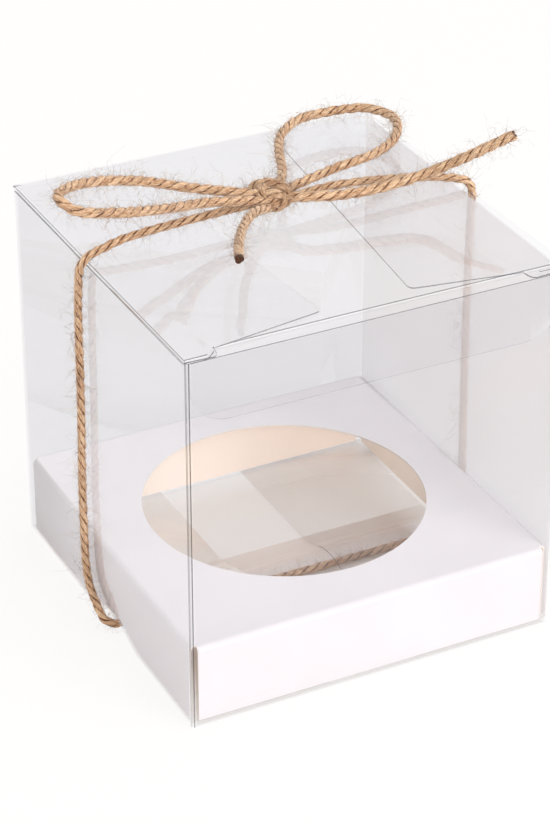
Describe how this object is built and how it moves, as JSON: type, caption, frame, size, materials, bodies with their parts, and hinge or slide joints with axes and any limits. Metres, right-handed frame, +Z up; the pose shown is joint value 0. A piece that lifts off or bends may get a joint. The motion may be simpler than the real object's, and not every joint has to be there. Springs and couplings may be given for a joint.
{
  "type": "cupcake box",
  "caption": "Clear folded film carton with a tuck lid, a white card stand with a round hole inside, and jute twine tied round it in a bow.",
  "frame": {"origin": "middle of the carton's footprint, on the surface that it stands on", "axes": "+Z up, -Y towards the front wall where the lid tucks in, +X to the right seen from the front"},
  "size_m": [0.1054, 0.0904, 0.1155],
  "materials": {
    "clear_film": "clear PET film, glossy, thin grey lines at its folds and cut edges",
    "white_card": "smooth matt white outside, cream inside",
    "jute": "three-ply natural jute twine with loose fibres"
  },
  "bodies": {
    "root": {"film_carton": "clear_film", "card_insert": "white_card", "twine": "jute"}
  },
  "joints": []
}
